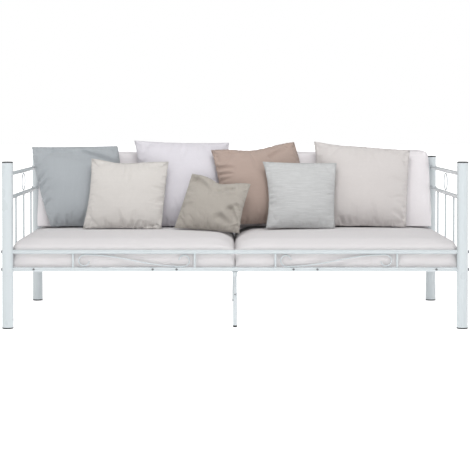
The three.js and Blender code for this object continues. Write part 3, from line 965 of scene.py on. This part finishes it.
def seat_bend(side):
    low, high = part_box("seat_cushion_" + side)
    sign = -1 if side == "left" else 1
    base, edge = low.z - SEAT_DROP, high.z - SEAT_CROWN
    half = (high.x - low.x) / 2

    def bend(level):
        points = level.copy()
        up = np.clip((level[:, 2] + (edge - base) / 2) / (edge - base), 0, 1)
        across = 1 - (level[:, 0] / half) ** 2
        back = 1 - (level[:, 1] / high.y) ** 2
        fall = fall_towards_middle(level[:, 0] * sign + half, SEAT_GAP_FALL)
        fall += SEAT_FRONT_FALL * np.clip(1 - (level[:, 1] + high.y) / SEAT_FRONT_REACH, 0, 1) ** 2
        points[:, 2] += up * ((SEAT_CROWN - 0.002) * across * back - fall)
        points += np.array([(low.x + high.x) / 2, 0, (base + edge) / 2])
        return points

    return bend


def back_bend(side):
    low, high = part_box("back_cushion_" + side)
    sign = -1 if side == "left" else 1
    height = high.z - low.z
    middle_x = (low.x + high.x) / 2
    middle_y = low.y + (high.y - low.y - height * math.tan(LEAN)) / 2
    half = (high.x - low.x) / 2

    def bend(level):
        points = level.copy()
        rise = level[:, 2] + height / 2
        points[:, 1] += rise * math.tan(LEAN) + middle_y
        points[:, 0] += middle_x
        inner = level[:, 0] * sign + half
        sag = fall_towards_middle(inner, BACK_GAP_FALL)
        outer = np.clip((2 * half - inner) / BACK_SLUMP_REACH, 0, 1)
        slump = BACK_SLUMP * outer**2 * (rise / height) ** 2
        points[:, 2] = rise + low.z - sag * (1 - rise / height) ** 2 - slump
        return points

    return bend


def seat_slab(side, seed):
    node = "seat_cushion_" + side
    low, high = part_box(node)
    height = high.z - SEAT_CROWN - low.z + SEAT_DROP
    halves = ((high.x - low.x) / 2, high.y, height / 2)
    return Slab("seat_" + side, node, halves, SEAT_RADII, SLAB_CELL, seat_bend(side), seed)


def back_slab(side, seed):
    node = "back_cushion_" + side
    low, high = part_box(node)
    halves = ((high.x - low.x) / 2, BACK_THICKNESS / 2, (high.z - low.z) / 2)
    return Slab("back_" + side, node, halves, BACK_RADII, SLAB_CELL, back_bend(side), seed)


def make_slabs():
    slabs = []
    for seed, side in enumerate(("left", "right")):
        slabs.append(seat_slab(side, seed))
        slabs.append(back_slab(side, seed + 5))
    return slabs


# ---- Small metal and plastic details -----------------------------------------------------


def turned(profile, place, direction, sides=20):
    """A shape turned from (radius, height) pairs, standing on a place and facing a direction."""
    spin = Vector(direction).to_track_quat("Z", "Y")
    points = []
    for radius, height in profile:
        for k in range(sides):
            angle = 2 * math.pi * k / sides
            spot = Vector((radius * math.cos(angle), radius * math.sin(angle), height))
            points.append(Vector(place) + spin @ spot)
    return points, tube_faces(len(profile), sides, False)


def bolt_head(place, direction, size):
    """A domed head with a round-bottomed socket, of the given radius and height."""
    radius, height = size
    profile = [(radius, 0.0), (radius, height * 0.4)]
    for step in range(1, 6):
        angle = math.radians(15 * step)
        profile.append((radius * (0.42 + 0.58 * math.cos(angle)), height * (0.4 + 0.6 * math.sin(angle))))
    socket = radius * 0.36
    profile += [(socket, height), (socket * 0.9, height * 0.45), (socket * 0.3, height * 0.35)]
    return turned(profile, place, direction)


def bead(centre, along, across, up, reach, rail_radius):
    """A weld bead where a rod meets a rail: it follows the rail's curved surface."""
    centre, along, across, up = Vector(centre), Vector(along), Vector(across), Vector(up)
    path = []
    for k in range(16):
        angle = 2 * math.pi * k / 16
        side = reach * math.sin(angle)
        lift = math.sqrt(max(rail_radius**2 - side**2, 0))
        path.append(centre + along * reach * math.cos(angle) + across * side + up * lift)
    return tube(path, BEAD_RADIUS)


def spindle_beads(x, y, lower, upper, rail_axis):
    """The two beads of an upright between two rails."""
    across = (0, 1, 0) if rail_axis == (1, 0, 0) else (1, 0, 0)
    reach = SPINDLE_RADIUS + 0.0004
    return [bead((x, y, lower), rail_axis, across, (0, 0, 1), reach, RAIL_RADIUS + 0.0002),
            bead((x, y, upper), rail_axis, across, (0, 0, -1), reach, RAIL_RADIUS + 0.0002)]


def rail_height(node):
    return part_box(node)[1].z - RAIL_RADIUS


def weld_beads():
    parts = []
    front_low, front_high = rail_height("front_lower_rail"), rail_height("front_upper_rail")
    for x in FRONT_BARS:
        parts += spindle_beads(x, -POST["y"], front_low, front_high, (1, 0, 0))
    back_low, back_high = rail_height("back_seat_rail"), rail_height("back_spindle_rail")
    for x in BACK_SPINDLES:
        parts += spindle_beads(x, POST["y"], back_low, back_high, (1, 0, 0))
    for side, sign in (("left", -1), ("right", 1)):
        heights = [rail_height(f"arm_{level}_rail_{side}") for level in ("lower", "mid", "top")]
        for place in ("front", "middle", "back"):
            low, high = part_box(f"arm_spindle_{side}_{place}")
            y = (low.y + high.y) / 2
            parts += spindle_beads(sign * POST["x"], y, heights[0], heights[1], (0, 1, 0))
        for end in (-1, 1):
            for height in heights:
                parts.append(bead((sign * POST["x"], end * POST["y"], height), (0, 0, 1), (1, 0, 0),
                                  (0, -end, 0), RAIL_RADIUS + 0.0004, POST["radius"] + 0.0002))
    for x in SCROLL_TACKS:
        tack = [(0.0035, 0.0), (0.0032, 0.0009), (0.002, 0.0017), (0.0006, 0.002)]
        parts.append(turned(tack, (x, -POST["y"], front_high - RAIL_RADIUS), (0, 0, -1), 12))
    return merged(parts)


def slat_bolts():
    """Bolts on the outside of both lower rails."""
    height = rail_height("front_lower_rail") + 0.001
    reach = POST["y"] + RAIL_RADIUS - 0.0004
    return [bolt_head((x, sign * reach, height), (0, sign, 0), SLAT_BOLT)
            for x in SLAT_BOLTS for sign in (-1, 1)]


def post_bolts():
    """Bolts that hold the back rails to the back posts."""
    reach = POST["x"] + POST["radius"] - 0.0003
    heights = [rail_height(f"back_{level}_rail") for level in ("lower", "seat", "spindle", "top")]
    return [bolt_head((sign * reach, POST["y"], height), (sign, 0, 0), POST_BOLT)
            for sign in (-1, 1) for height in heights]


def leg_bolts():
    """One on the outside of each centre leg's clamp band."""
    reach = abs(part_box("centre_leg_front")[0].y) - 0.0008
    return [bolt_head((0, sign * reach, LEG_BOLT_HEIGHT), (0, sign, 0), LEG_BOLT) for sign in (-1, 1)]


def beam_plugs():
    """Square plugs with rounded faces in the two ends of the centre beam."""
    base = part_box("centre_beam")[0].z
    parts = []
    for sign in (-1, 1):
        rings = []
        for inset, out in ((0.0, -0.0002), (0.0, 0.0009), (0.0009, 0.0018), (0.003, 0.0021)):
            half = BEAM_HALF - inset
            middle = base + BEAM_HALF
            corners = [(-half, -half), (half, -half), (half, half), (-half, half)]
            rings.append([Vector((x, sign * (BEAM_END + out), middle + z)) for x, z in corners])
        points = [point for ring in rings for point in ring]
        parts.append((points, tube_faces(len(rings), 4, False)))
    return merged(parts)


def metal_piece(name, shape, material):
    piece = new_piece(name, *shape)
    smooth(piece)
    piece.data.materials.append(material)
    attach(piece, "frame")
    return piece


def make_details(coat, steel):
    metal_piece("weld_beads", weld_beads(), coat)
    bolts = merged(slat_bolts() + post_bolts() + leg_bolts())
    metal_piece("bolt_heads", bolts, steel)
    metal_piece("beam_plugs", beam_plugs(), coat)


# ---- Assembly ----------------------------------------------------------------------------


def soft_piece(piece, body, node, material):
    smooth(piece)
    piece.data.materials.append(material)
    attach(piece, body)
    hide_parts(node)


def finish_slab(slab, cloths):
    slab.place()
    subdivide(slab.piece)
    kind = slab.name.split("_")[0]
    body = "seat_cushions" if kind == "seat" else slab.node
    soft_piece(slab.piece, body, slab.node, cloths[kind])


def finish_pillow(pillow):
    look = pillow.look
    slot = pillow.name + "_fabric"
    body = "pillow_" + pillow.name
    cloth = fabric(slot, linear(*look["color"]), look["streak"], look["shape"], look["gather"])
    pillow.refine()
    soft_piece(pillow.piece, body, body, cloth)
    seam = pillow.sew()
    seam.data.materials.append(cloth)
    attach(seam, body)


def make_soft_pieces():
    slabs = make_slabs()
    pillows = [Pillow(name, look, seed) for seed, (name, look) in enumerate(PILLOWS.items(), 3)]
    makers = slabs + pillows
    for maker in makers:
        maker.add_cloth()
    for maker, ends in zip(makers, run_cloth([maker.piece for maker in makers])):
        maker.settle(ends)
    cloths = {
        "seat": fabric("seat_fabric", SEAT_COLOR, streak=0.012),
        "back": fabric("back_fabric", BACK_COLOR, streak=0.012),
    }
    for slab in slabs:
        finish_slab(slab, cloths)
    for pillow in pillows:
        finish_pillow(pillow)


def smoothing_tree():
    """Joins doubled vertices and shades smooth across all but the sharp edges."""
    tree = bpy.data.node_groups.new("smooth_by_angle", "GeometryNodeTree")
    for way in ("INPUT", "OUTPUT"):
        tree.interface.new_socket("Geometry", in_out=way, socket_type="NodeSocketGeometry")
    start = add_node(tree, "NodeGroupInput").outputs[0]
    inputs = {"Geometry": start, "Distance": WELD_DISTANCE}
    weld = add_node(tree, "GeometryNodeMergeByDistance", inputs).outputs[0]
    faces = add_node(tree, "GeometryNodeSetShadeSmooth", {"Geometry": weld}, domain="FACE").outputs[0]
    angle = add_node(tree, "GeometryNodeInputMeshEdgeAngle").outputs["Unsigned Angle"]
    inputs = {0: angle, 1: SMOOTH_ANGLE}
    is_flat = add_node(tree, "FunctionNodeCompare", inputs, operation="LESS_EQUAL").outputs[0]
    inputs = {"Geometry": faces, "Shade Smooth": is_flat}
    edges = add_node(tree, "GeometryNodeSetShadeSmooth", inputs, domain="EDGE").outputs[0]
    add_node(tree, "NodeGroupOutput", {0: edges})
    return tree


def dress_cad_nodes():
    tree = smoothing_tree()
    coat, plastic, steel = powder_coat(), black_plastic(), dark_steel()
    for name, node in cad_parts.items():
        if "cushion" in name or "pillow" in name:
            continue
        material = coat
        if "cap" in name or "foot" in name:
            material = plastic
        if "bolt" in name:
            material = steel
        node.data.materials.clear()
        node.data.materials.append(material)
        node.modifiers.new("smooth_by_angle", "NODES").node_group = tree
        if "ring" in name or "scroll" in name:
            subdivide(node)
    make_details(coat, steel)


make_camera()
make_world()
make_lights()
make_floor()
bpy.context.scene.view_settings.view_transform = "Standard"
make_soft_pieces()
dress_cad_nodes()
